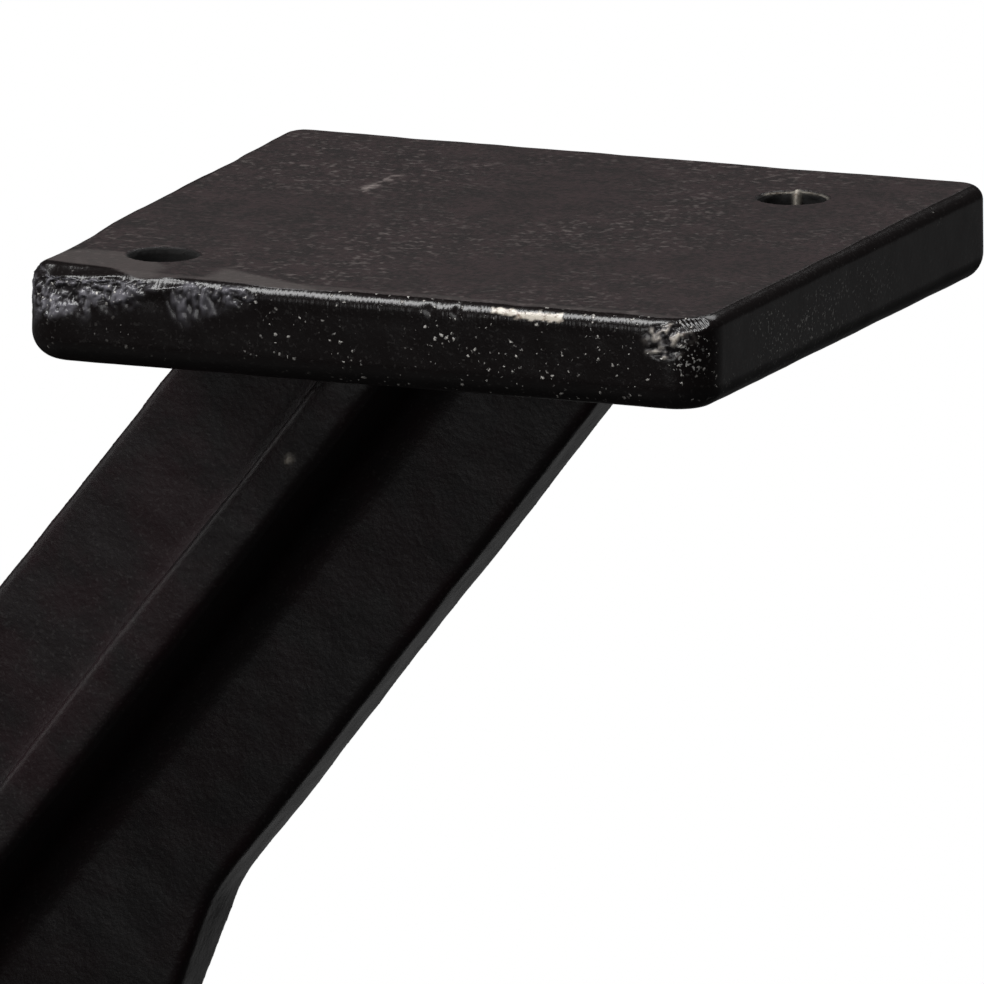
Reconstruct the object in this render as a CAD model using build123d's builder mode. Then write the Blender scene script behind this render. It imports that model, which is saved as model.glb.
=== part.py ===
from build123d import *
import os
from math import cos, radians, sin, tan

# Overall form of the end frame, in millimetres and degrees
overall_height = 711.2
arm_angle = 52.0
ring_outer_radius = 296.0
ring_band_width = 49.0

# Flat web shared by the ring and the arms
web_thickness = 12.7
arm_width = 49.0
web_edge_round = 1.5

# Flare where each arm widens into the ring
flare_reach = 54.1
flare_angle = 17.1
flare_start_radius = 25.0
flare_root_radius = 30.0

# Stiffening rib on both faces of the web
rib_face_width = 6.8
rib_height = 23.4
rib_draft_angle = 1.5
rib_junction_radius = 14.0
rib_edge_round = 1.5
rib_root_radius = 6.0

# Nearly square plates at the four arm ends, a little wider at the rear
plate_depth = 101.6
plate_front_width = 99.9
plate_rear_width = 103.3
plate_thickness = 13.5
plate_outset = 7.5
plate_front_corner_radius = 6.5
plate_rear_corner_radius = 4.0
plate_outer_round = 2.2
plate_inner_round = 4.0
plate_root_radius = 3.0

# Two bolt holes on a diagonal of each top plate
hole_diameter = 9.0
near_hole_side_inset = 15.4
near_hole_front_inset = 14.5
far_hole_side_inset = 21.3
far_hole_rear_inset = 20.3
hole_rim_round = 0.3

# Ring and arm axes, with the frame standing in the XZ plane on z = 0
ring_centre_height = overall_height / 2
ring_inner_radius = ring_outer_radius - ring_band_width
ring_mean_radius = ring_outer_radius - ring_band_width / 2
frame_plane = Plane(origin=(0, 0, ring_centre_height), x_dir=(1, 0, 0), z_dir=(0, -1, 0))
arm_turns = [arm_angle, 180 - arm_angle, 180 + arm_angle, 360 - arm_angle]
arm_places = [Location((0, 0, 0), (0, 0, turn)) for turn in arm_turns]
plate_inner_reach = ring_centre_height - plate_thickness
axis_length = plate_inner_reach / sin(radians(arm_angle))
arm_overrun = axis_length + arm_width
rib_overrun = arm_overrun + arm_width
plate_centre_x = plate_inner_reach / tan(radians(arm_angle)) + plate_outset
trimmed_height = overall_height - plate_thickness

# Each arm's outline, along its own axis from the ring's centre
flare_start = ring_outer_radius + flare_reach
flare_length = flare_start - ring_mean_radius
flare_half_width = arm_width / 2 + flare_length * tan(radians(flare_angle))
arm_outline = [
    (ring_mean_radius, -flare_half_width),
    (flare_start, -arm_width / 2),
    (arm_overrun, -arm_width / 2),
    (arm_overrun, arm_width / 2),
    (flare_start, arm_width / 2),
    (ring_mean_radius, flare_half_width),
]

# Section of the rib through both faces, widest at the mid-plane where the mould parts
rib_reach = web_thickness / 2 + rib_height
rib_half_width = rib_face_width / 2 + rib_reach * tan(radians(rib_draft_angle))
rib_section = [
    (-rib_half_width, 0),
    (-rib_face_width / 2, rib_reach),
    (rib_face_width / 2, rib_reach),
    (rib_half_width, 0),
    (rib_face_width / 2, -rib_reach),
    (-rib_face_width / 2, -rib_reach),
]
ring_axis = Axis(frame_plane.origin, frame_plane.z_dir)
ring_section_plane = Plane(frame_plane.origin + Vector(ring_mean_radius, 0, 0))
arm_runs = [Vector(cos(radians(turn)), 0, sin(radians(turn))) for turn in arm_turns]
arm_section_planes = [
    Plane(frame_plane.origin + run * ring_mean_radius, x_dir=run.cross(frame_plane.z_dir), z_dir=run)
    for run in arm_runs
]

# Outline of a plate from above, front edge first
plate_outline = [
    (-plate_front_width / 2, -plate_depth / 2),
    (plate_front_width / 2, -plate_depth / 2),
    (plate_rear_width / 2, plate_depth / 2),
    (-plate_rear_width / 2, plate_depth / 2),
]

# Bolt holes of the plate on the +X side, which the other plate mirrors
near_hole_x = plate_centre_x - plate_front_width / 2 + near_hole_side_inset
near_hole_y = -plate_depth / 2 + near_hole_front_inset
far_hole_x = plate_centre_x + plate_rear_width / 2 - far_hole_side_inset
far_hole_y = plate_depth / 2 - far_hole_rear_inset
hole_places = [
    (near_hole_x, near_hole_y),
    (far_hole_x, far_hole_y),
    (-near_hole_x, near_hole_y),
    (-far_hole_x, far_hole_y),
]


def beside_rib(edge):
    """Whether an edge of the web runs nearer to the rib's centre line than to the web's outline."""
    offset = edge @ 0.5 - frame_plane.origin
    to_ring = abs(Vector(offset.X, 0, offset.Z).length - ring_mean_radius)
    to_arms = [abs(offset.cross(run).Y) for run in arm_runs if offset.dot(run) > ring_mean_radius]
    return min([to_ring, *to_arms]) < arm_width / 4


with BuildPart() as leg_casting:
    # Flat web: the ring with four arms that flare into it
    with BuildSketch(frame_plane):
        Circle(ring_outer_radius)
        with Locations(*arm_places):
            Polygon(*arm_outline, align=None)
        fillet(vertices().group_by(SortBy.DISTANCE, tol_digits=3)[1], flare_start_radius)
        fillet(vertices().group_by(SortBy.DISTANCE, tol_digits=3)[0], flare_root_radius)
        Circle(ring_inner_radius, mode=Mode.SUBTRACT)
    extrude(amount=web_thickness / 2, both=True)
    outline = edges().filter_by(Axis.Y, reverse=True).sort_by_distance(frame_plane.origin)
    fillet(outline[: -2 * len(arm_places)], web_edge_round)

    # Drafted rib round the ring and out along every arm, on both faces
    with BuildSketch(ring_section_plane):
        Polygon(*rib_section, align=None)
    ring_rib = revolve(axis=ring_axis, mode=Mode.PRIVATE)
    with BuildSketch(*arm_section_planes):
        Polygon(*rib_section, align=None)
    arm_ribs = extrude(amount=rib_overrun - ring_mean_radius, mode=Mode.PRIVATE)
    add([ring_rib, arm_ribs])
    fillet(edges().filter_by(GeomType.PARABOLA), rib_junction_radius)
    front_roots = edges().filter_by_position(Axis.Y, -web_thickness / 2, -web_thickness / 2)
    rear_roots = edges().filter_by_position(Axis.Y, web_thickness / 2, web_thickness / 2)
    fillet((front_roots + rear_roots).filter_by(beside_rib), rib_root_radius)
    fillet(faces().sort_by(Axis.Y)[0].edges() + faces().sort_by(Axis.Y)[-1].edges(), rib_edge_round)

    # Arm ends cut level inside the plates
    with Locations(frame_plane):
        Box(2 * rib_overrun, trimmed_height, 2 * rib_overrun, mode=Mode.INTERSECT)

    # Two mounting plates on top and two foot plates below
    with BuildSketch(Plane.XY, Plane.XY.offset(trimmed_height)):
        with Locations((plate_centre_x, 0), (-plate_centre_x, 0)):
            Polygon(*plate_outline, align=None)
        fillet(vertices().group_by(Axis.Y)[0], plate_front_corner_radius)
        fillet(vertices().group_by(Axis.Y)[-1], plate_rear_corner_radius)
    extrude(amount=plate_thickness)
    inner_faces = faces().filter_by(Axis.Z).filter_by(lambda face: len(face.inner_wires()) > 0)
    fillet([edge for face in inner_faces for edge in face.outer_wire().edges()], plate_inner_round)
    inner_faces = faces().filter_by(Axis.Z).filter_by(lambda face: len(face.inner_wires()) > 0)
    fillet([edge for face in inner_faces for edge in face.inner_wires()[0].edges()], plate_root_radius)
    fillet(edges().group_by(Axis.Z)[-1] + edges().group_by(Axis.Z)[0], plate_outer_round)

    # Bolt holes through the two top plates
    with Locations(Plane.XY.offset(overall_height)):
        with Locations(*hole_places):
            Hole(hole_diameter / 2, depth=plate_thickness)
    rims = edges().filter_by(GeomType.CIRCLE).filter_by_position(Axis.Z, overall_height, overall_height)
    fillet(rims.filter_by(lambda edge: edge.is_closed), hole_rim_round)

leg_casting.part.label = "leg_casting"
os.makedirs("parts", exist_ok=True)
export_step(leg_casting.part, "parts/leg_casting.step")
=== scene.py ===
"""Looks of a cast-iron o-frame table leg: its sand-cast skin, its black paint and a plain studio.

Everything is in metres, in the CAD frame: +Z up, the frame standing in the XZ plane on z = 0.
Placed marks on the photographed plate are in millimetres from the middle of its top face.
"""

import logging
import math
from dataclasses import dataclass
from enum import Enum

import bmesh
import bpy
import numpy as np
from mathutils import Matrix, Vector

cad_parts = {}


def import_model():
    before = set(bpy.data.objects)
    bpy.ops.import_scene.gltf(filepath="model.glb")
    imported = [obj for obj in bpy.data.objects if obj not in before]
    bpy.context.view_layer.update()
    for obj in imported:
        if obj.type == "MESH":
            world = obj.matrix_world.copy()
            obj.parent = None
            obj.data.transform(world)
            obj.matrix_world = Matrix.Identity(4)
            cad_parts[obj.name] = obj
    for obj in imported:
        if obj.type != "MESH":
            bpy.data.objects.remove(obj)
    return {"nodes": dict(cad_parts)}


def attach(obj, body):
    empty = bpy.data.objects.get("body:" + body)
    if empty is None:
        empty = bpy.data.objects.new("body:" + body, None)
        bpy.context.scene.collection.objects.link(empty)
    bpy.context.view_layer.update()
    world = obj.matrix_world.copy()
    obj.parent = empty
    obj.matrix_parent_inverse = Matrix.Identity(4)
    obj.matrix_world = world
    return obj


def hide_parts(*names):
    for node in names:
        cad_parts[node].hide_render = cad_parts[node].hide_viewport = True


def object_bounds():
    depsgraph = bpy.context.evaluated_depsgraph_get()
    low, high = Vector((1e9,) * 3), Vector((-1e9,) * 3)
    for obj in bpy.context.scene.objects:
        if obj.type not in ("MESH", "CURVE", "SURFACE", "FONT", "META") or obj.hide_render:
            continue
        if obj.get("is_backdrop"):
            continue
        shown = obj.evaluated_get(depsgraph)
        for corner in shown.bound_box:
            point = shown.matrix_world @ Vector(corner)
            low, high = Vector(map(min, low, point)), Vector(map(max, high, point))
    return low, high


LOG = logging.getLogger("table_leg")
MM = 0.001
NODE = "leg_casting"
BODY = "root"


class Zone(Enum):
    """Point attributes that the skin hands to the paint, each from 0 to 1."""

    SEAT = "seat"
    GLOSS = "gloss"
    PITS = "pits"
    # Crumbled rim: bare grey iron, with painted highlights on the lumps' peaks and painted shade in their
    # creases.
    CRUMB_AND_PAINTED_LIGHT = "crumb"
    TICKS = "ticks"
    LIP = "lip"
    # Pale chips, and painted highlights laid in the same colour.
    CHIP_AND_HIGHLIGHT = "chip_and_highlight"
    SCUFF = "scuff"
    # Painted shade inside the bolt holes.
    BORE_SHADE = "bore_shade"
    # Fine bright dots painted as glints.
    PAINTED_GLINTS = "painted_glints"
    FAN = "fan"
    DULL = "dull"


class SurfaceNoise:
    """Gradient noise on a repeatable 3-D lattice, worked out for whole arrays of points."""

    def __init__(self, seed: int) -> None:
        """Draws the lattice's table of directions.

        Args:
            seed: number that the table is drawn from.
        """
        draw = np.random.default_rng(seed)
        self.order = np.tile(draw.permutation(256), 3)
        directions = draw.normal(size=(256, 3))
        self.slopes = directions / np.linalg.norm(directions, axis=1, keepdims=True)

    def at(self, points: np.ndarray, size: float) -> np.ndarray:
        """Noise from about -1 to 1: corner slopes blended with the quintic 6t^5 - 15t^4 + 10t^3.

        Args:
            points: array (n, 3).
            size: width of one lattice cell, in the points' own unit.

        Returns:
            One value for each point.
        """
        scaled = points / size + 17.3
        cell = np.floor(scaled).astype(np.int64)
        offset = scaled - cell
        blend = offset**3 * (offset * (offset * 6 - 15) + 10)
        total = np.zeros(len(points))
        for corner in np.ndindex(2, 2, 2):
            x, y, z = ((cell + corner) & 255).T
            slope = self.slopes[self.order[self.order[self.order[x] + y] + z]]
            weight = np.where(corner, blend, 1 - blend).prod(axis=1)
            total += weight * ((offset - corner) * slope).sum(axis=1)
        return total * 1.6

    def layered(self, points: np.ndarray, layers: tuple[tuple[float, float], ...]) -> np.ndarray:
        """Sum of noises, each given by its cell size and its height."""
        return sum(height * self.at(points + size * 7.3, size) for size, height in layers)


def bell(value: np.ndarray, middle: float, width: float) -> np.ndarray:
    """Smooth bump exp(-((value - middle) / width)^2), 1 at the middle."""
    return np.exp(-(((value - middle) / width) ** 2))


def ramp(value: np.ndarray, start: float | np.ndarray, end: float | np.ndarray) -> np.ndarray:
    """Smooth step from 0 at start to 1 at end, 3t^2 - 2t^3."""
    t = np.clip((value - start) / (end - start), 0, 1)
    return t * t * (3 - 2 * t)


def span(value: np.ndarray, start: float, end: float, soft: float) -> np.ndarray:
    """1 between start and end, falling to 0 within the soft width on either side."""
    return ramp(value, start - soft, start + soft) * (1 - ramp(value, end - soft, end + soft))


@dataclass(frozen=True)
class Mark:
    """An oval mark on the photographed plate's front, in millimetres: middle, half-widths and depth."""

    x: float
    z: float
    wide: float
    tall: float
    deep: float = 0.0

    def share(self, x: np.ndarray, z: np.ndarray) -> np.ndarray:
        """1 at the mark's middle, falling to 0 around it."""
        return bell(x, self.x, self.wide) * bell(z, self.z, self.tall)


CRUMBS = (
    Mark(-45.3, -3.6, 5.6, 4.2),
    Mark(-37.6, -2.3, 5.4, 2.6),
    Mark(-32.6, -1.6, 2.8, 1.4),
    Mark(-24.4, -2.8, 3.6, 2.8),
    Mark(-19.2, -1.8, 3.0, 1.2),
    Mark(44.2, -2.3, 2.6, 1.7),
    Mark(43.6, -4.9, 2.2, 0.9),
)
DENTS = (
    Mark(-29.5, -3.5, 2.0, 1.3, deep=0.12),
    Mark(-40.6, -4.9, 2.4, 1.3, deep=0.15),
    Mark(-20.2, -2.8, 2.4, 1.1, deep=0.15),
    Mark(10.0, -1.5, 0.7, 0.9, deep=0.20),
    Mark(13.8, -1.4, 0.5, 0.8, deep=0.22),
)
PIT_CLUSTER = Mark(-1.2, -6.4, 2.2, 2.0)
RIB_SPECK = (255.8, -29.75, 682.7)
RIB_SPECK_SIZE = 0.46


@dataclass(frozen=True)
class Cut:
    """A plane that keeps the side its normal points away from."""

    point: Vector
    normal: Vector

    def moved(self, margin: float) -> "Cut":
        """The same plane, further out by the margin."""
        return Cut(self.point + self.normal * margin, self.normal)

    def apply(self, work: bmesh.types.BMesh) -> None:
        """Cuts the mesh and leaves the cut open."""
        geometry = work.verts[:] + work.edges[:] + work.faces[:]
        bmesh.ops.bisect_plane(
            work, geom=geometry, dist=1e-8, plane_co=self.point, plane_no=self.normal, clear_outer=True
        )


def close_openings(work: bmesh.types.BMesh) -> None:
    """Fills every open loop with a flat cap whose edge stays sharp."""
    rim = [edge for edge in work.edges if edge.is_boundary]
    for edge in rim:
        edge.smooth = False
    bmesh.ops.holes_fill(work, edges=rim, sides=0)
    bmesh.ops.recalc_face_normals(work, faces=work.faces)


@dataclass(frozen=True)
class Box:
    """An upright box between two corners."""

    low: tuple[float, float, float]
    high: tuple[float, float, float]

    def holds(self, point: Vector) -> bool:
        """Whether the point lies inside the box."""
        return all(a < p < b for a, p, b in zip(self.low, point, self.high))


@dataclass(frozen=True)
class Region:
    """One stretch of the casting, with its own fineness."""

    name: str
    voxel: float
    cuts: tuple[Cut, ...]
    fine: tuple[Box, ...] = ()
    margin: float = 0.004

    def raw_mesh(self, source: bpy.types.Mesh) -> bpy.types.Mesh:
        """Even quads over this stretch, open where it was cut.

        Args:
            source: the whole casting, merged and closed.

        Returns:
            A new mesh, trimmed exactly to the cuts.
        """
        work = bmesh.new()
        work.from_mesh(source)
        for cut in self.cuts:
            cut.moved(self.margin).apply(work)
            close_openings(work)
        block = bpy.data.meshes.new(self.name + "_block")
        work.to_mesh(block)
        work.free()
        even = self.voxelised(block)
        work = bmesh.new()
        work.from_mesh(even)
        for cut in self.cuts:
            cut.apply(work)
        self.refine(work)
        work.to_mesh(even)
        work.free()
        return even

    def refine(self, work: bmesh.types.BMesh) -> None:
        """Splits every quad inside a fine box into nine."""
        chosen = set()
        for face in work.faces:
            middle = face.calc_center_median()
            if any(box.holds(middle) for box in self.fine):
                chosen.update(face.edges)
        bmesh.ops.subdivide_edges(work, edges=list(chosen), cuts=2, use_grid_fill=True)

    def voxelised(self, block: bpy.types.Mesh) -> bpy.types.Mesh:
        """The block's surface as quads of this stretch's voxel size."""
        carrier = bpy.data.objects.new(self.name + "_carrier", block)
        bpy.context.scene.collection.objects.link(carrier)
        remesh = carrier.modifiers.new("even", "REMESH")
        remesh.mode = "VOXEL"
        remesh.voxel_size = self.voxel
        evaluated = carrier.evaluated_get(bpy.context.evaluated_depsgraph_get())
        even = bpy.data.meshes.new_from_object(evaluated)
        bpy.data.objects.remove(carrier)
        return even


@dataclass(frozen=True)
class PlateForm:
    """A mounting plate in millimetres from the middle of its outer face, which lies at z = 0."""

    depth: float = 101.6
    front_width: float = 99.9
    rear_width: float = 103.3
    thickness: float = 13.5
    front_corner: float = 6.5
    rear_corner: float = 4.0
    outer_round: float = 2.2
    inner_round: float = 4.0
    hole_radius: float = 4.5
    holes: tuple[tuple[float, float], ...] = ((-34.55, -36.3), (30.35, 30.5))

    def widening(self, y: np.ndarray) -> np.ndarray:
        """Width at a depth over the plate's depth, so that dividing by it squares the outline."""
        middle = (self.rear_width + self.front_width) / 2
        return (middle + (self.rear_width - self.front_width) * y / self.depth) / self.depth

    def outline(self, local: np.ndarray) -> tuple[np.ndarray, np.ndarray]:
        """Distance from the rounded outline, negative inside, and the way out from it.

        Args:
            local: array (n, 3) of points.

        Returns:
            Distances (n,) and unit directions (n, 2) in the plate's plane.
        """
        flat = np.stack([local[:, 0] / self.widening(local[:, 1]), local[:, 1]], axis=1)
        corner = np.where(flat[:, 1] < 0, self.front_corner, self.rear_corner)
        beyond = np.abs(flat) - (self.depth / 2 - corner)[:, None]
        outside = np.maximum(beyond, 0)
        reach = np.hypot(*outside.T)
        distance = reach + np.minimum(beyond.max(axis=1), 0) - corner
        square = np.eye(2)[np.argmax(beyond, axis=1)]
        way = np.where((reach > 0)[:, None], outside / np.maximum(reach, 1e-9)[:, None], square)
        return distance, way * np.where(flat < 0, -1, 1)

    def from_holes(self, local: np.ndarray) -> np.ndarray:
        """Distance from the nearest bolt hole's wall, negative inside the hole."""
        x, y = local[:, 0], local[:, 1]
        return np.min([np.hypot(x - a, y - b) for a, b in self.holes], axis=0) - self.hole_radius

    def seated(self, local: np.ndarray) -> tuple[np.ndarray, np.ndarray, np.ndarray]:
        """Points moved onto the plate's exact section: flat face, outer round, upright side, inner round.

        Args:
            local: array (n, 3) of points near the plate's skin.

        Returns:
            The moved points, their outward normals, and which of the points were moved.
        """
        distance, way = self.outline(local)
        z = local[:, 2]
        new_d, new_z = distance.copy(), z.copy()
        out, up = np.zeros_like(z), np.zeros_like(z)
        side = (z < -self.outer_round) & (z > self.inner_round - self.thickness)
        new_d[side], out[side] = 0, 1
        top = (distance < -self.outer_round) & (z > -self.outer_round)
        new_z[top], up[top] = 0, 1
        for radius, level, sign in ((self.outer_round, 0, 1), (self.inner_round, -self.thickness, -1)):
            a, b = distance + radius, (z - level) * sign + radius
            turn = (a >= 0) & (b >= 0)
            length = np.maximum(np.hypot(a, b), 1e-9)
            out[turn], up[turn] = (a / length)[turn], (sign * b / length)[turn]
            new_d[turn] = (a / length * radius - radius)[turn]
            new_z[turn] = (level + sign * (b / length * radius - radius))[turn]
        moved = np.concatenate([local[:, :2] + way * (new_d - distance)[:, None], new_z[:, None]], axis=1)
        normals = np.concatenate([way * out[:, None], up[:, None]], axis=1)
        near = (np.hypot(out, up) > 0.5) & (np.linalg.norm(moved - local, axis=1) < 0.45)
        near &= self.from_holes(local) > 0.6
        return np.where(near[:, None], moved, local), normals, near


@dataclass(frozen=True)
class RingForm:
    """The ring's round faces as they are drawn, in millimetres, where the CAD mesh has flat facets."""

    outer_radius: float = 296.0
    inner_radius: float = 247.0
    rib_radius: float = 271.5
    rib_half_width: float = 3.4
    rib_reach: float = 29.75
    rib_draft: float = 1.5
    deepest_facet: float = 0.8

    def rounded(self, local: np.ndarray, normals: np.ndarray) -> np.ndarray:
        """Points moved out to the round face that they belong to.

        Args:
            local: array (n, 3) in millimetres from the ring's centre.
            normals: outward unit normals, array (n, 3).

        Returns:
            Array (n, 3) in millimetres.
        """
        radius = np.maximum(np.hypot(local[:, 0], local[:, 2]), 1.0)
        way = local * (1, 0, 1) / radius[:, None]
        facing = np.abs(np.sum(normals * way, axis=1))
        slope = math.tan(math.radians(self.rib_draft))
        flank = self.rib_half_width + (self.rib_reach - np.abs(local[:, 1])) * slope
        short = np.zeros(len(local))
        for face in (self.outer_radius, self.inner_radius, self.rib_radius + flank, self.rib_radius - flank):
            gap = face - radius
            short += np.where((gap > 0) & (gap < self.deepest_facet), gap, 0)
        return local + way * (short * ramp(facing, 0.93, 0.99))[:, None]


class CastSkin:
    """The sand-cast surface: how far every point lies from the drawn form, and how it is finished."""

    def __init__(self, leg: "Casting", low: np.ndarray, high: np.ndarray) -> None:
        """Keeps the leg and the box that the skin stays in.

        Args:
            leg: the casting, for its sizes.
            low: lowest corner of the CAD box, in metres.
            high: highest corner of the CAD box, in metres.
        """
        self.leg, self.plate, self.ring = leg, PlateForm(), RingForm()
        self.low, self.high = low, high
        self.sand, self.wear = SurfaceNoise(11), SurfaceNoise(23)

    def to_plate(self, points: np.ndarray) -> np.ndarray:
        """Points in mm from the nearest plate's outer face, all turned like the photographed plate."""
        across = np.abs(points[:, 0]) - self.leg.plate_x
        inward = np.minimum(points[:, 2], self.leg.height - points[:, 2])
        return np.stack([across, points[:, 1], -inward], axis=1) / MM

    def from_plate(self, local: np.ndarray, points: np.ndarray) -> np.ndarray:
        """The way back from to_plate, on the same side of the leg as the given points."""
        x = (local[:, 0] * MM + self.leg.plate_x) * np.sign(points[:, 0])
        top = points[:, 2] > self.leg.height / 2
        z = np.where(top, self.leg.height + local[:, 2] * MM, -local[:, 2] * MM)
        return np.stack([x, local[:, 1] * MM, z], axis=1)

    def photographed(self, points: np.ndarray) -> np.ndarray:
        """1 on the photographed quarter and 0 on the others."""
        return ((points[:, 0] > 0) & (points[:, 2] > self.leg.height / 2)).astype(float)

    def seat_on_form(self, points: np.ndarray, normals: np.ndarray) -> tuple[np.ndarray, np.ndarray]:
        """Points put exactly on the drawn form, on the ring's round faces and the photographed plate.

        Args:
            points: array (n, 3) in metres.
            normals: the mesh's own normals, array (n, 3).

        Returns:
            New points and normals.
        """
        centre = np.array((0, 0, self.leg.height / 2))
        points = self.ring.rounded((points - centre) / MM, normals) * MM + centre
        local = self.to_plate(points)
        moved, exact, near = self.plate.seated(local)
        near &= self.photographed(points) > 0
        points = np.where(near[:, None], self.from_plate(moved, points), points)
        return points, np.where(near[:, None], exact, normals)

    def crumbled(self, local: np.ndarray) -> np.ndarray:
        """Where the photographed plate's front is crumbled, from 0 to 1: ragged ovals just under its edge."""
        x, y, z = local.T
        ragged = self.wear.layered(local, ((5.0, 0.55), (2.0, 0.45)))
        places = np.zeros(len(local))
        for mark in CRUMBS:
            places = np.maximum(places, mark.share(x, z))
        under_rim = np.where(x < -29, ramp(-z, 0.08, 0.4), ramp(-z, 0.3, 0.8))
        return ramp(places + 0.45 * ragged * (places > 0.02), 0.15, 0.85) * ramp(-y, 43, 45) * under_rim

    def lumps(self, local: np.ndarray) -> np.ndarray:
        """Height of the crumbs' lumps and creases, in millimetres, drawn out upright in one dragged patch."""
        dragged = span(local[:, 0], -28, -20, 1.5)
        drawn = np.stack([*local.T[:2], local[:, 2] * (1 - 0.35 * dragged)], axis=1)
        return self.wear.layered(drawn, ((2.6, 0.16), (1.2, 0.34), (0.62, 0.24))) * (1 - 0.45 * dragged)

    def corner_facet(self, local: np.ndarray) -> np.ndarray:
        """How deep a flat cut takes off the rim at the front right corner, in millimetres."""
        return np.clip(local @ (0.479, -0.594, 0.647) - 50.77, 0, None)

    def bumps(self, points: np.ndarray, normals: np.ndarray) -> np.ndarray:
        """Height of the sand's waves and grain over the drawn form, lower on the plates' flat seats.

        Args:
            points: array (n, 3) in metres.
            normals: outward unit normals, array (n, 3).

        Returns:
            One height for each point, in millimetres.
        """
        mm = points / MM
        local = self.to_plate(points)
        on_plate = ramp(local[:, 2], -self.plate.thickness - 6, -self.plate.thickness)
        seat = ramp(np.abs(normals[:, 2]), 0.85, 0.99) * ramp(local[:, 2], -1.5, -0.2)
        waves = self.sand.layered(mm, ((80.0, 0.45), (27.0, 0.28)))
        ripples = self.sand.layered(mm, ((8.5, 0.10), (3.4, 0.05)))
        waves = waves * (1 - 0.72 * on_plate) * (1 - 0.6 * seat)
        return waves + ripples * (1 - 0.45 * on_plate) - 0.16 * on_plate

    def damage(self, points: np.ndarray) -> np.ndarray:
        """Height of the marks on the photographed plate: dents, crumbled edge, wavy rim and hole seam.

        Args:
            points: array (n, 3) in metres.

        Returns:
            One height for each point, in millimetres; hollows are negative.
        """
        local = self.to_plate(points)
        x, y, z = local.T
        front = self.front(local)
        crumb = self.crumbled(local)
        height = crumb * (self.lumps(local) - 0.15) - self.corner_facet(local)
        for dent in DENTS:
            height -= dent.deep * dent.share(x, z) * front
        distance, _ = self.plate.outline(local)
        rim = bell(distance, 0, 2.4) * bell(z, 0, 2.4)
        blunt = 0.3 * front * bell(x, 44, 3) + 0.5 * ramp(-x, 44, 47) * span(y, -46, -22, 8)
        nicks = np.clip(self.wear.layered(local, ((17.0, 0.35), (6.0, 0.22))), 0, None)
        height -= rim * (nicks * (0.6 - 0.45 * ramp(x, 38, 44) * (1 - front)) + blunt)
        reach = np.clip(-7.85 - 0.33 * x, 0, 7.5) * ramp(-y, 44, 48.5) * (1 - 0.7 * ramp(-x, 45.5, 49))
        down = (1.35 * distance - z) / np.maximum(reach, 0.1)
        height -= 0.2 * reach * np.clip(1 - down**2, 0, 1)
        hole_x, hole_y = self.plate.holes[1]
        wall = bell(self.plate.from_holes(local), 0, 0.7) * (y > hole_y) * (x > 0)
        height += wall * (0.9 * bell(x, hole_x - 1.1, 0.4) + 0.25 * self.wear.at(local, 1.6))
        return height * self.photographed(points)

    def shaped(self, points: np.ndarray, normals: np.ndarray) -> np.ndarray:
        """The skin's points, kept inside the CAD box.

        Args:
            points: array (n, 3) on the drawn form, in metres.
            normals: outward unit normals, array (n, 3).

        Returns:
            Array (n, 3) in metres.
        """
        height = (self.bumps(points, normals) + self.damage(points)) * MM
        return np.clip(points + normals * height[:, None], self.low, self.high)

    def front(self, local: np.ndarray) -> np.ndarray:
        """1 at a plate's front side, 0 a few millimetres behind it."""
        return ramp(-local[:, 1], 44, 48)

    def seat(
        self, local: np.ndarray, normals: np.ndarray, photo: np.ndarray, wavy: np.ndarray
    ) -> np.ndarray:
        """The plates' level outer faces; the photographed one ends along a wavy line before its front rim.

        Args:
            local: array (n, 3) in millimetres.
            normals: outward unit normals, array (n, 3).
            photo: 1 on the photographed quarter.
            wavy: slow noise along the plate.

        Returns:
            A share for each point.
        """
        x, y, z = local.T
        over = 5 + 9 * wavy + 14 * span(x, -37, -29, 4) + 16 * span(x, -15, -4, 4)
        over = 11 + self.front(local) * photo * (over - (over + 5) * ramp(x, 41, 45))
        over = np.radians(np.clip(over, 5, 45))
        level = ramp(np.abs(normals[:, 2]), np.cos(over + 0.06), np.cos(over - 0.04))
        broken = 45.6 + 0.36 * (x + 45.5) - 1.2 * bell(x, -38, 5) + 0.5 * wavy
        broken = photo * ramp(-x, 29, 31) * ramp(-y, broken - 0.35, broken + 0.35)
        return level * ramp(z, -2.2, -1.5) * (1 - broken)

    def flats(self, local: np.ndarray, wavy: np.ndarray) -> np.ndarray:
        """Bands along the photographed plate's front rim and about its near hole, where the seat is drawn
        lighter.
        """
        x, y, _ = local.T
        back = 50.8 + 0.5 * (x + 5.5)
        near = 36.8 + 0.05 * (x + 43) ** 2 + wavy
        flat = span(x, -23.5, -6.0, 1.2) * ramp(-y, back - 1.0, back + 0.4)
        flat += 0.8 * span(x, -50, -31, 1.5) * ramp(-y, near - 1.0, near + 0.6)
        return np.clip(flat + 0.5 * ramp(-y, 47.6 + 0.8 * wavy, 48.4 + 0.8 * wavy), 0, 1)

    def scuffs(self, local: np.ndarray, ragged: np.ndarray) -> np.ndarray:
        """Two torn scuffs on the photographed plate's top, the farther one fainter."""
        x, y, _ = local.T
        scuff = bell(x - 0.062 * (y - 18.3) + 0.7 * ragged, -25.4, 0.8) * span(y, 11.5, 25, 2.0)
        scuff += 0.6 * bell(x - 0.44 * (y - 34) + 0.7 * ragged, -17.6, 0.9) * span(y, 31, 37, 1.5)
        return np.clip(scuff, 0, 1)

    def chips(self, local: np.ndarray, ragged: np.ndarray) -> np.ndarray:
        """Two pale chips side by side on the photographed plate's front edge."""
        x, _, z = local.T
        small = span(x + 0.6 * ragged, 18.6, 22.6, 0.2) * span(z + 0.5 * ragged, -1.35, -0.5, 0.12)
        large = span(x + 0.6 * ragged, 22.2, 28.9, 0.2) * span(z + 0.6 * ragged, -1.9, -0.75, 0.12)
        return np.maximum(small, large) * self.front(local)

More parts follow.
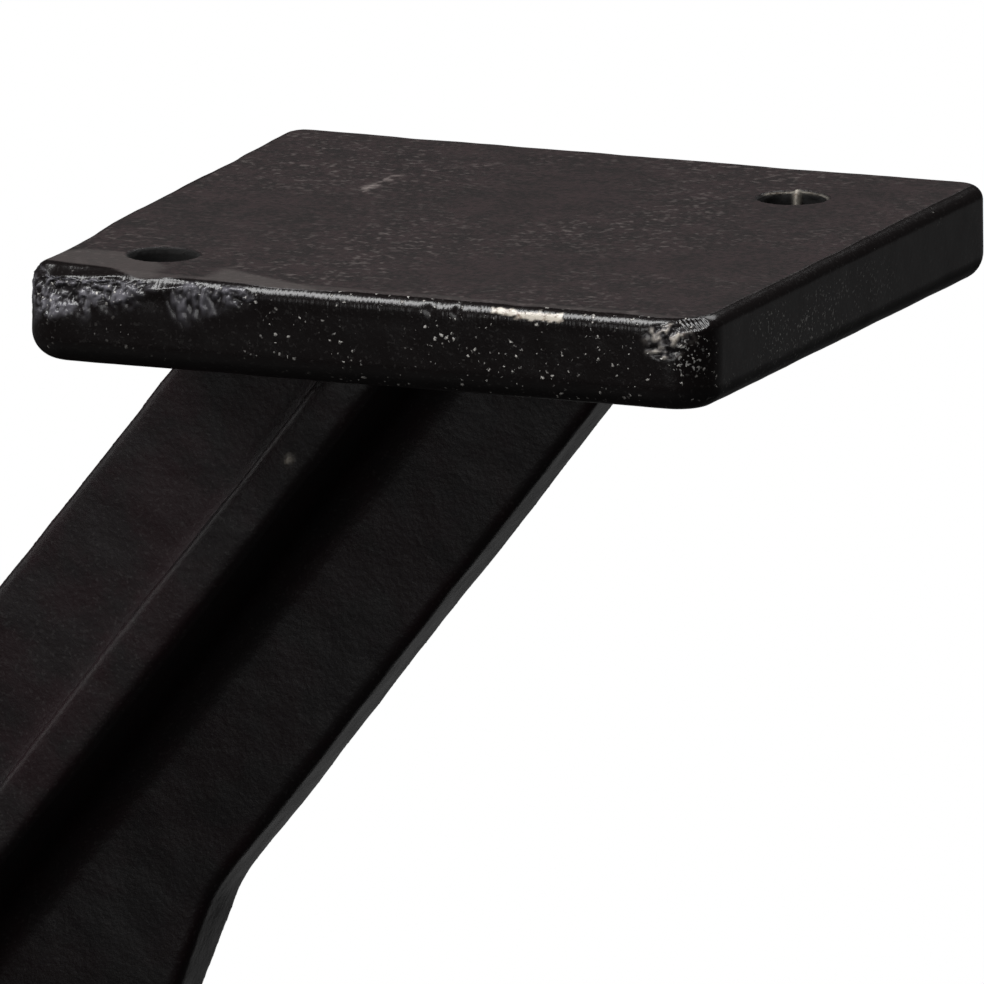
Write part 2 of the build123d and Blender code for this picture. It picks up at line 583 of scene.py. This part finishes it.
    def hole_highlights(self, local: np.ndarray) -> np.ndarray:
        """Painted highlights on the far hole's rear rim and on the ridge down its wall."""
        x, y, z = local.T
        hole_x, hole_y = self.plate.holes[1]
        rim = ramp(y, hole_y + 0.8, hole_y + 2.4) * ramp(z, -0.6, -0.3) * (0.3 - 0.03 * (x - hole_x))
        ridge = 0.7 * bell(x, hole_x - 1.1, 0.4) * (y > hole_y) * ramp(z, -4, -2)
        wall = 1 - ramp(self.plate.from_holes(local), 0.15, 0.5)
        return np.maximum(rim, ridge) * (x > 0) * wall * (1 - ramp(-z, 4, 5))

    def painted_glints(self, local: np.ndarray) -> np.ndarray:
        """Painted glints, fine bright dots, on the photographed plate's right side and front right corner."""
        x, y, z = local.T
        patchy = ramp(self.wear.layered(local, ((9.0, 0.8), (3.0, 0.5))), -0.3, 0.35)
        side = ramp(x, 47.5, 49.5) * (1 - ramp(y, -5, 22)) * ramp(-z, 2.4, 3.4) * patchy * 0.5
        corner = span(x, 45.0, 48.4, 0.4) * span(z, -7.4, -2.4, 0.5) * (1.2 + 0.9 * patchy)
        return side + corner * self.front(local)

    def zones(self, points: np.ndarray, normals: np.ndarray) -> dict[Zone, np.ndarray]:
        """What the paint needs to know at every point, each from 0 to 1.

        Args:
            points: array (n, 3) on the drawn form, in metres.
            normals: outward unit normals, array (n, 3).

        Returns:
            One array for each zone.
        """
        local = self.to_plate(points)
        x, _, z = local.T
        photo = self.photographed(points)
        on_plate = ramp(z, -self.plate.thickness - 0.4, -self.plate.thickness + 1.0)
        open_air = ramp(self.plate.from_holes(local), 0.3, 0.6)
        wavy = self.wear.layered(local * (1, 1, 0), ((13.0, 0.7), (5.0, 0.35)))
        ragged = self.wear.layered(local, ((2.2, 0.5), (0.8, 0.5)))
        seat = self.seat(local, normals, photo, wavy)
        sides = on_plate * (1 - seat) * open_air
        crumb, lumps = self.crumbled(local), self.lumps(local)
        # Painted highlights on the peaks of the lumps at the front right corner, laid in the chip colour.
        cluster = 0.95 * crumb * ramp(lumps, -0.04, 0.22) * (x > 40)
        speck = 0.9 * bell(np.linalg.norm(points / MM - RIB_SPECK, axis=1), 0, RIB_SPECK_SIZE)
        # Real chips and the rib's speck, together with painted highlights on the far hole and the corner
        # lumps.
        chips = np.max([self.chips(local, ragged), self.hole_highlights(local), cluster, speck], axis=0)
        # Where the pits take painted glints: mostly the front's right half, one cluster and the crumbled rim.
        pits = self.front(local) * (0.05 + 0.95 * ramp(x, -28, 20))
        pits = 0.2 + photo * (pits + PIT_CLUSTER.share(x, z) + 0.4 * crumb)
        return {
            Zone.SEAT: seat,
            Zone.GLOSS: sides,
            Zone.PITS: sides * pits,
            # Crumb colour strongest on the lumps' peaks as painted highlights and faint in the creases as
            # painted shade.
            Zone.CRUMB_AND_PAINTED_LIGHT: crumb * (0.06 + 0.94 * ramp(lumps, -0.12, 0.2)) * photo,
            Zone.TICKS: on_plate * (1 - seat) * ramp(z, -3.6, -2.4),
            Zone.LIP: self.flats(local, wavy) * photo * seat,
            Zone.CHIP_AND_HIGHLIGHT: chips * photo,
            Zone.SCUFF: self.scuffs(local, ragged) * photo * seat,
            # Painted shade inside the bolt holes.
            Zone.BORE_SHADE: on_plate * (1 - open_air),
            # Painted glints: sparse on the arms, more on the plates' sides, most on the photographed corner.
            Zone.PAINTED_GLINTS: 0.045 * (1 - on_plate) + sides * (0.04 + photo * self.painted_glints(local)),
            Zone.FAN: ramp(self.corner_facet(local), 0, 0.04) * photo,
            Zone.DULL: on_plate * np.maximum(ramp(-z, 9.6, 11.4), 1 - open_air),
        }


@dataclass(frozen=True)
class Casting:
    """The one-piece leg, rebuilt as closed stretches of skin that together replace the CAD node."""

    height: float = 0.7112
    arm_angle: float = 52.0
    plate_x: float = 0.2747778
    plate_thickness: float = 0.0135
    plate_cut_below: float = 0.0038
    arm_cut_from_plate: float = 0.128
    front_cut: float = -0.0436
    rim_from: float = 0.0462
    rim_depth: float = 0.004
    hole_reach: float = 0.0075
    plate_voxel: float = 0.00068
    arm_voxel: float = 0.00064
    quarter_voxel: float = 0.00145

    def regions(self) -> list[Region]:
        """The stretches: the photographed plate and arm are fine, and the four quarters plainer."""
        right, back, up = Vector((1, 0, 0)), Vector((0, 1, 0)), Vector((0, 0, 1))
        centre = Vector((0, 0, self.height / 2))
        turn = math.radians(self.arm_angle)
        run = Vector((math.cos(turn), 0, math.sin(turn)))
        reach = (self.height / 2 - self.plate_thickness) / math.sin(turn)
        arm_cut = centre + run * (reach - self.arm_cut_from_plate)
        plate_cut = up * (self.height - self.plate_thickness - self.plate_cut_below)
        keep_right, keep_left = Cut(centre, -right), Cut(centre, right)
        keep_top, keep_bottom = Cut(centre, -up), Cut(centre, up)
        arm_cuts = (Cut(plate_cut, up), Cut(arm_cut, -run), keep_right)
        front, rear = Cut(Vector((0, self.front_cut, 0)), -back), Cut(Vector((0, self.front_cut, 0)), back)
        holes = [(self.plate_x + x * MM, y * MM) for x, y in PlateForm().holes]
        reach = self.hole_reach
        fine = [Box((x - reach, y - reach, 0), (x + reach, y + reach, 1)) for x, y in holes]
        fine.append(Box((self.plate_x + self.rim_from, -1, self.height - self.rim_depth), (1, 1, 1)))
        above = (Cut(plate_cut, -up), keep_right)
        return [
            Region("top_plate_front", self.plate_voxel, (*above, rear), (Box((0, -1, 0), (1, 1, 1)),)),
            Region("top_plate_rear", self.plate_voxel, (*above, front), tuple(fine)),
            Region("arm_upper_right", self.arm_voxel, arm_cuts),
            Region("quarter_upper_right", self.quarter_voxel, (Cut(arm_cut, run), keep_right, keep_top)),
            Region("quarter_upper_left", self.quarter_voxel, (keep_left, keep_top)),
            Region("quarter_lower_left", self.quarter_voxel, (keep_left, keep_bottom)),
            Region("quarter_lower_right", self.quarter_voxel, (keep_right, keep_bottom)),
        ]

    def build(self, cad: bpy.types.Mesh, skin: CastSkin, paint: bpy.types.Material) -> list[bpy.types.Object]:
        """Builds, paints and places every stretch.

        Args:
            cad: the CAD node's mesh, which stays as it is.
            skin: the surface to give the casting.
            paint: the finish.

        Returns:
            The new objects.
        """
        work = bmesh.new()
        work.from_mesh(cad)
        bmesh.ops.remove_doubles(work, verts=work.verts, dist=2e-6)
        source = bpy.data.meshes.new("casting_source")
        work.to_mesh(source)
        work.free()
        return [self.dress(region, region.raw_mesh(source), skin, paint) for region in self.regions()]

    def dress(
        self, region: Region, mesh: bpy.types.Mesh, skin: CastSkin, paint: bpy.types.Material
    ) -> bpy.types.Object:
        """One stretch of skin, shaped, closed, marked with its zones and painted.

        Args:
            region: the stretch.
            mesh: its even mesh, open at the cuts.
            skin: the surface to give it.
            paint: the finish.

        Returns:
            The new object, riding on the leg's body.
        """
        flat = np.empty((2, len(mesh.vertices) * 3), np.float32)
        mesh.vertices.foreach_get("co", flat[0])
        mesh.vertex_normals.foreach_get("vector", flat[1])
        points, normals = flat.reshape(2, -1, 3).astype(float)
        points, normals = skin.seat_on_form(points, normals)
        mesh.vertices.foreach_set("co", skin.shaped(points, normals).astype(np.float32).ravel())
        for zone, values in skin.zones(points, normals).items():
            layer = mesh.attributes.new(zone.value, "FLOAT", "POINT")
            layer.data.foreach_set("value", values.astype(np.float32))
        work = bmesh.new()
        work.from_mesh(mesh)
        close_openings(work)
        work.to_mesh(mesh)
        work.free()
        mesh.polygons.foreach_set("use_smooth", np.ones(len(mesh.polygons), bool))
        mesh.materials.clear()
        mesh.materials.append(paint)
        mesh.update()
        piece = bpy.data.objects.new(region.name, mesh)
        bpy.context.scene.collection.objects.link(piece)
        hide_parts(NODE)
        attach(piece, BODY)
        LOG.info("%s: %d faces", region.name, len(mesh.polygons))
        return piece


def linear(code: str) -> tuple[float, float, float, float]:
    """A hex sRGB colour as linear RGBA."""
    parts = [int(code[i : i + 2], 16) / 255 for i in (1, 3, 5)]
    r, g, b = (c / 12.92 if c <= 0.04045 else ((c + 0.055) / 1.055) ** 2.4 for c in parts)
    return (r, g, b, 1.0)


class Nodes:
    """A material's or world's node tree."""

    def __init__(self, tree: bpy.types.NodeTree) -> None:
        """Empties the tree."""
        self.tree = tree
        tree.nodes.clear()

    def add(
        self, kind: str, inputs: dict | None = None, out: int | str = 0, **settings: object
    ) -> bpy.types.NodeSocket | None:
        """Adds a node, sets it and links what it reads.

        Args:
            kind: Blender's node type, without its leading ShaderNode.
            inputs: input name or number to a value or to another node's output.
            out: which output to hand back.
            settings: the node's own properties.

        Returns:
            The chosen output, or None for an output node.
        """
        node = self.tree.nodes.new("ShaderNode" + kind)
        for name, value in settings.items():
            setattr(node, name, value)
        for name, value in (inputs or {}).items():
            if isinstance(value, bpy.types.NodeSocket):
                self.tree.links.new(value, node.inputs[name])
            else:
                node.inputs[name].default_value = value
        return node.outputs[out] if node.outputs else None


@dataclass(frozen=True)
class PaintedIron:
    """Brushed black paint over sand-cast grey iron.

    The eye sees a brown-black, matte, grainy skin on the arms, a satin grey bloom on the seats, and
    a wet-looking black with pits on the plates' sides, chipped to a pale ground coat on one edge.
    Glints in the pits and fine glints on the sides are painted, as are highlights on the crumbled rim's
    lumps, on the far hole and on the corner lumps, shade in the crumbs' creases and shade in the bolt holes.
    """

    name: str = "painted_iron"
    arm_dark: str = "#1d0a0f"
    arm_light: str = "#181012"
    side: str = "#181414"
    seat_dark: str = "#160e0e"
    seat_light: str = "#2d2021"
    fleck: str = "#5a5250"
    lip: str = "#544e4c"
    # Grey of the crumbled iron, partly bare metal and partly painted highlight on its lumps.
    crumb: str = "#7e7c83"
    glint: str = "#b5b3b0"
    # Painted glint in the pits.
    speck: str = "#dcd8d2"
    # Pale ground coat of the chips, also used for painted highlights on the far hole and the corner lumps.
    chip_and_highlight: str = "#efe6d8"
    stain: str = "#94806f"
    scuff: str = "#857b78"
    # Near-black painted shade on the bolt holes' walls.
    bore_shade: str = "#0c0a0a"
    ior: float = 1.5
    roughness: float = 0.42
    gloss_smooths: float = -0.26
    seat_roughens: float = 0.33
    mottle_roughens: float = 0.12
    dull_roughens: float = 0.4
    grain_height: float = 0.00008
    mottle_size: float = 0.005
    arm_mottle_size: float = 0.009
    # Moulding sand is about 0.3 mm, and bristle and file marks are finer still: each of these is drawn
    # two or three times as coarse as it is, so that it still shows at the photograph's scale.
    grain_size: float = 0.0009
    tick_spacing: float = 0.00045
    # Size of the fine dots painted as glints.
    painted_glint_size: float = 0.0005
    fan_spacing: float = 0.00062
    # Pits and rubbed flecks keep their real size and spacing.
    speck_spacing: float = 0.0009
    fleck_size: float = 0.0011

    def build(self) -> bpy.types.Material:
        """The paint as a material that reads object coordinates and the skin's zones."""
        material = bpy.data.materials.new(self.name)
        material.use_nodes = True
        n = Nodes(material.node_tree)
        where = n.add("TexCoord", out="Object")
        zone = {z: n.add("Attribute", out="Fac", attribute_name=z.value) for z in Zone}
        noise = {"Vector": where, "Roughness": 0.6}
        mottle = n.add("TexNoise", noise | {"Scale": 1 / self.mottle_size, "Detail": 4.0})
        grain = n.add("TexNoise", noise | {"Scale": 1 / self.grain_size, "Detail": 3.0})
        glinting_pits = self.glinting_pits(n, where, zone[Zone.PITS])
        colour = self.colour(n, where, zone, mottle, grain, glinting_pits)
        rough = self.roughness
        for value, share in (
            (zone[Zone.GLOSS], self.gloss_smooths),
            (zone[Zone.SEAT], self.seat_roughens),
            (mottle, self.mottle_roughens),
            (zone[Zone.DULL], self.dull_roughens),
        ):
            rough = n.add("Math", {0: value, 1: share, 2: rough}, operation="MULTIPLY_ADD", use_clamp=True)
        shader = {
            "Base Color": colour,
            "Roughness": rough,
            "Normal": self.relief(n, where, zone, grain, glinting_pits),
            "IOR": self.ior,
        }
        n.add("OutputMaterial", {"Surface": n.add("BsdfPrincipled", shader)})
        return material

    def glinting_pits(
        self,
        n: Nodes,
        where: bpy.types.NodeSocket,
        pits: bpy.types.NodeSocket,
    ) -> bpy.types.NodeSocket:
        """How much of a pit's painted glint shows: small bright spots about scattered points, in clusters.

        Args:
            n: the material's nodes.
            where: object coordinates.
            pits: how pitted the place is.

        Returns:
            A share from 0 to 1.
        """
        wobble = n.add("TexNoise", {"Vector": where, "Scale": 1 / 0.0005, "Detail": 1.0}, out="Color")
        bent = n.add("VectorMath", {0: wobble, 1: (0.0007,) * 3, 2: where}, operation="MULTIPLY_ADD")
        cells = {"Vector": bent, "Scale": 1 / self.speck_spacing}
        gap = n.add("TexVoronoi", cells, out="Distance")
        chance = n.add("TexVoronoi", cells, out="Color")
        second = n.add("SeparateColor", {0: chance}, out=1)
        radius = n.add("Math", {0: second, 1: 0.22, 2: 0.14}, operation="MULTIPLY_ADD")
        core = n.add("Math", {0: radius, 1: 0.45}, operation="MULTIPLY")
        spot = {"Value": gap, "From Min": radius, "From Max": core}
        spot = n.add("MapRange", spot, interpolation_type="SMOOTHSTEP")
        cluster = n.add("TexNoise", {"Vector": where, "Scale": 1 / 0.0055, "Detail": 2.0})
        cluster = n.add("MapRange", {"Value": cluster, "From Min": 0.36, "From Max": 0.62})
        taken = n.add("Math", {0: n.add("SeparateColor", {0: chance}), 1: cluster}, operation="MULTIPLY")
        taken = n.add("Math", {0: taken, 1: pits}, operation="MULTIPLY")
        taken = n.add("MapRange", {"Value": taken, "From Min": 0.13, "From Max": 0.36})
        return n.add("Math", {0: taken, 1: spot}, operation="MULTIPLY", use_clamp=True)

    def colour(
        self,
        n: Nodes,
        where: bpy.types.NodeSocket,
        zone: dict[Zone, bpy.types.NodeSocket],
        mottle: bpy.types.NodeSocket,
        grain: bpy.types.NodeSocket,
        glinting_pits: bpy.types.NodeSocket,
    ) -> bpy.types.NodeSocket:
        """The paint's colour, laid on from the arms' brown-black up to the chips, with painted glints,
        highlights and shade among its coats.

        Args:
            n: the material's nodes.
            where: object coordinates.
            zone: the skin's zones.
            mottle: broad noise.
            grain: fine noise.
            glinting_pits: share of pits painted bright as glints.

        Returns:
            The colour.
        """
        patch = {"Vector": where, "Scale": 1 / self.arm_mottle_size, "Detail": 4.0, "Roughness": 0.6}
        patch = n.add("MapRange", {"Value": n.add("TexNoise", patch), "From Min": 0.43, "From Max": 0.57})
        # Fine bright dots painted as glints wherever that zone asks for them.
        glint_dots = n.add("TexNoise", {"Vector": where, "Scale": 1 / self.painted_glint_size, "Detail": 1.0})
        glint_dots = n.add("MapRange", {"Value": glint_dots, "From Min": 0.60, "From Max": 0.74})
        glints = n.add("Math", {0: glint_dots, 1: zone[Zone.PAINTED_GLINTS]}, operation="MULTIPLY")
        fleck = n.add("TexNoise", {"Vector": where, "Scale": 1 / self.fleck_size, "Detail": 1.0})
        fleck = n.add("MapRange", {"Value": fleck, "From Min": 0.56, "From Max": 0.80})
        drift = n.add("TexNoise", {"Vector": where, "Scale": 1 / 0.03, "Detail": 1.0})
        drift = n.add("MapRange", {"Value": drift, "From Min": 0.32, "From Max": 0.62})
        fleck = n.add("Math", {0: fleck, 1: drift}, operation="MULTIPLY")
        fleck = n.add("Math", {0: fleck, 1: zone[Zone.SEAT]}, operation="MULTIPLY")
        sand = n.add("Math", {0: mottle, 1: 0.4}, operation="MULTIPLY")
        sand = n.add("Math", {0: grain, 1: 0.6, 2: sand}, operation="MULTIPLY_ADD")
        sand = n.add("MapRange", {"Value": sand, "From Min": 0.43, "From Max": 0.57})
        blend = {"data_type": "RGBA"}
        arm = n.add("Mix", {0: patch, 6: linear(self.arm_dark), 7: linear(self.arm_light)}, out=2, **blend)
        seat = n.add("Mix", {0: sand, 6: linear(self.seat_dark), 7: linear(self.seat_light)}, out=2, **blend)
        torn = n.add("TexNoise", {"Vector": where, "Scale": 1 / 0.0016, "Detail": 4.0})
        torn = n.add("MapRange", {"Value": torn, "From Min": 0.46, "From Max": 0.62})
        rubbed = n.add("Math", {0: zone[Zone.SCUFF], 1: torn}, operation="MULTIPLY")
        lighter_lip = n.add("Math", {0: zone[Zone.LIP], 1: 0.62}, operation="MULTIPLY")
        stain = n.add("MapRange", {"Value": grain, "From Min": 0.5, "From Max": 0.68})
        chip_and_highlight = n.add("Mix", {0: stain, 6: linear(self.chip_and_highlight), 7: linear(self.stain)}, out=2, **blend)
        colour = arm
        # Coats laid on in turn; the glint dots, the pits' glints, the crumbs' lit peaks and shaded creases,
        # the bolt holes' shade and the highlights in the chip colour are painted light and shade.
        for share, coat in (
            (zone[Zone.GLOSS], linear(self.side)),
            (zone[Zone.CRUMB_AND_PAINTED_LIGHT], linear(self.crumb)),
            (glints, linear(self.glint)),
            (glinting_pits, linear(self.speck)),
            (zone[Zone.SEAT], seat),
            (fleck, linear(self.fleck)),
            (lighter_lip, linear(self.lip)),
            (rubbed, linear(self.scuff)),
            (zone[Zone.BORE_SHADE], linear(self.bore_shade)),
            (zone[Zone.CHIP_AND_HIGHLIGHT], chip_and_highlight),
        ):
            colour = n.add("Mix", {0: share, 6: colour, 7: coat}, out=2, **blend)
        return colour

    def relief(
        self,
        n: Nodes,
        where: bpy.types.NodeSocket,
        zone: dict[Zone, bpy.types.NodeSocket],
        grain: bpy.types.NodeSocket,
        glinting_pits: bpy.types.NodeSocket,
    ) -> bpy.types.NodeSocket:
        """Relief too fine for the mesh, in metres: grain, ticks, crumbs, pits and the corner's file marks.

        Args:
            n: the material's nodes.
            where: object coordinates.
            zone: the skin's zones.
            grain: fine noise.
            glinting_pits: share of pits, which the colour paints bright as glints.

        Returns:
            The bumped normal.
        """
        stretch = (1 / self.tick_spacing, 20.0, 20.0)
        along = n.add("Mapping", {"Vector": where, "Scale": stretch})
        ticks = n.add("TexNoise", {"Vector": along, "Scale": 1.0, "Detail": 1.0})
        crumbs = n.add("TexNoise", {"Vector": where, "Scale": 1 / 0.0009, "Detail": 0.0})
        step = 2 * math.pi / self.fan_spacing
        across = (0.643 * step, 0.766 * step, 0.5 * step)
        strokes = n.add("VectorMath", {0: where, 1: across}, out="Value", operation="DOT_PRODUCT")
        strokes = n.add("Math", {0: strokes}, operation="SINE")
        height = n.add("Math", {0: grain, 1: self.grain_height}, operation="MULTIPLY")
        for value, share, tall in (
            (grain, zone[Zone.SEAT], self.grain_height),
            (grain, zone[Zone.GLOSS], -0.00005),
            (strokes, zone[Zone.FAN], 0.000012),
            (ticks, zone[Zone.TICKS], 0.00004),
            (crumbs, zone[Zone.CRUMB_AND_PAINTED_LIGHT], 0.0002),
            (glinting_pits, zone[Zone.PITS], 0.0001),
        ):
            part = n.add("Math", {0: value, 1: share}, operation="MULTIPLY")
            height = n.add("Math", {0: part, 1: tall, 2: height}, operation="MULTIPLY_ADD")
        return n.add("Bump", {"Height": height, "Strength": 1.0, "Distance": 1.0})


@dataclass(frozen=True)
class Softbox:
    """One area light, at a distance and in a direction from the point it is aimed at."""

    name: str
    aim: tuple[float, float, float]
    direction: tuple[float, float, float]
    distance: float
    size: tuple[float, float]
    power: float

    def build(self) -> None:
        """Adds the light to the scene."""
        data = bpy.data.lights.new(self.name, "AREA")
        data.shape = "RECTANGLE"
        data.size, data.size_y = self.size
        data.energy = self.power
        lamp = bpy.data.objects.new(self.name, data)
        toward = Vector(self.direction).normalized()
        lamp.location = Vector(self.aim) + toward * self.distance
        lamp.rotation_euler = toward.to_track_quat("Z", "Y").to_euler()
        lamp.visible_camera = False
        bpy.context.scene.collection.objects.link(lamp)


@dataclass(frozen=True)
class Studio:
    """A pale floor, soft lights, a white background and the photograph's camera."""

    plate_middle: tuple[float, float, float] = (0.2747778, 0.0, 0.70445)
    azimuth: float = 21.83
    elevation: float = 12.02
    distance: float = 6.2
    pixels: float = 984.0
    pixels_per_metre: float = 7391.0
    plate_at: tuple[float, float] = (501.4, 270.6)
    ambient: float = 0.02
    backdrop: float = 0.08
    floor_reach: float = 1.5

    def build(self) -> None:
        """Builds the whole studio."""
        self.world()
        self.floor()
        self.camera()
        plate, middle, arm_edge = self.plate_middle, (0.0, 0.0, 0.38), (0.25, 0.0, 0.61)
        for box in (
            Softbox("left_light", plate, (-0.36, -0.42, 0.83), 1.7, (0.5, 1.2), 20.0),
            Softbox("right_light", plate, (0.45, -0.10, 0.89), 1.7, (0.5, 0.5), 9.0),
            Softbox("front_fill", plate, (-0.08, -0.985, 0.13), 3.0, (1.2, 1.2), 10.0),
            Softbox("rear_light", middle, (0.3, 0.55, 0.78), 2.2, (0.8, 0.8), 6.0),
            Softbox("edge_card", arm_edge, (-0.12, 0.91, -0.40), 0.6, (0.3, 0.24), 0.08),
            Softbox("left_card", arm_edge, (-0.94, -0.15, 0.26), 1.2, (0.5, 0.36), 0.95),
        ):
            box.build()
            LOG.info("%s: %.1f W", box.name, box.power)
        bpy.context.scene.view_settings.view_transform = "Standard"

    def world(self) -> None:
        """A background that the camera sees white, and a dim room with a paler backdrop behind the leg."""
        world = bpy.data.worlds.new("studio")
        world.use_nodes = True
        n = Nodes(world.node_tree)
        way = n.add("TexCoord", out="Generated")
        behind = n.add("SeparateXYZ", {0: way}, out="Y")
        behind = n.add("MapRange", {"Value": behind, "From Min": 0.3, "From Max": 0.8})
        low = n.add("SeparateXYZ", {0: way}, out="Z")
        low = n.add("Math", {0: n.add("Math", {0: low, 1: 0.18})}, operation="ABSOLUTE")
        low = n.add("MapRange", {"Value": low, "From Min": 0.18, "From Max": 0.08})
        share = n.add("Math", {0: behind, 1: low}, operation="MULTIPLY")
        tones = {0: share, 6: (self.ambient,) * 3 + (1.0,), 7: (self.backdrop,) * 3 + (1.0,)}
        room = n.add("Mix", tones, out=2, data_type="RGBA")
        seen = n.add("LightPath", out="Is Camera Ray")
        colour = n.add("Mix", {0: seen, 6: room, 7: (1.0, 1.0, 1.0, 1.0)}, out=2, data_type="RGBA")
        n.add("OutputWorld", {"Surface": n.add("Background", {"Color": colour, "Strength": 1.0})})
        bpy.context.scene.world = world

    def floor(self) -> None:
        """A level disc of matt paper, pale and even to the camera, that fades out and is clear from below."""
        turn = np.linspace(0, 2 * math.pi, 97)[:-1]
        ring = np.stack([np.cos(turn), np.sin(turn), np.zeros_like(turn)], axis=1) * self.floor_reach
        mesh = bpy.data.meshes.new("floor")
        mesh.from_pydata(ring.tolist(), [], [list(range(len(ring)))])
        material = bpy.data.materials.new("matt_paper")
        material.use_nodes = True
        n = Nodes(material.node_tree)
        far = n.add("VectorMath", {0: n.add("TexCoord", out="Object")}, out="Value", operation="LENGTH")
        fade = {"Value": far, "From Min": 0.5 * self.floor_reach, "From Max": 0.98 * self.floor_reach}
        gone = n.add("MapRange", fade, interpolation_type="SMOOTHSTEP")
        gone = n.add("Math", {0: gone, 1: n.add("NewGeometry", out="Backfacing")}, operation="MAXIMUM")
        tones = {0: n.add("LightPath", out="Is Camera Ray"), 6: linear("#3c3c3c"), 7: linear("#f4f3f1")}
        pale = n.add("BsdfDiffuse", {"Color": n.add("Mix", tones, out=2, data_type="RGBA")})
        both = n.add("MixShader", {0: gone, 1: pale, 2: n.add("BsdfTransparent")})
        n.add("OutputMaterial", {"Surface": both})
        mesh.materials.append(material)
        floor = bpy.data.objects.new("floor", mesh)
        bpy.context.scene.collection.objects.link(floor)
        floor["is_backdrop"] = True

    def camera(self) -> None:
        """The photograph's view: a long lens that puts the plate's middle where the photograph has it."""
        a, e = math.radians(self.azimuth), math.radians(self.elevation)
        back = Vector((math.sin(a) * math.cos(e), -math.cos(a) * math.cos(e), math.sin(e)))
        right = Vector((math.cos(a), math.sin(a), 0.0))
        up = back.cross(right)
        aside = (self.plate_at[0] - self.pixels / 2) / self.pixels_per_metre
        above = (self.pixels / 2 - self.plate_at[1]) / self.pixels_per_metre
        aim = Vector(self.plate_middle) - right * aside - up * above
        data = bpy.data.cameras.new("photo_camera")
        data.sensor_width = 36.0
        data.lens = data.sensor_width * self.distance * self.pixels_per_metre / self.pixels
        data.clip_end = 100.0
        camera = bpy.data.objects.new("photo_camera", data)
        camera.location = aim + back * self.distance
        camera.rotation_euler = back.to_track_quat("Z", "Y").to_euler()
        bpy.context.scene.collection.objects.link(camera)
        bpy.context.scene.camera = camera


def main() -> None:
    """Builds the leg and the studio."""
    logging.basicConfig(level=logging.INFO, format="%(name)s: %(message)s")
    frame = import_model()
    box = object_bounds()
    leg = Casting()
    skin = CastSkin(leg, np.array(box[0]), np.array(box[1]))
    leg.build(frame["nodes"][NODE].data, skin, PaintedIron().build())
    Studio().build()


if __name__ == "__main__":
    main()
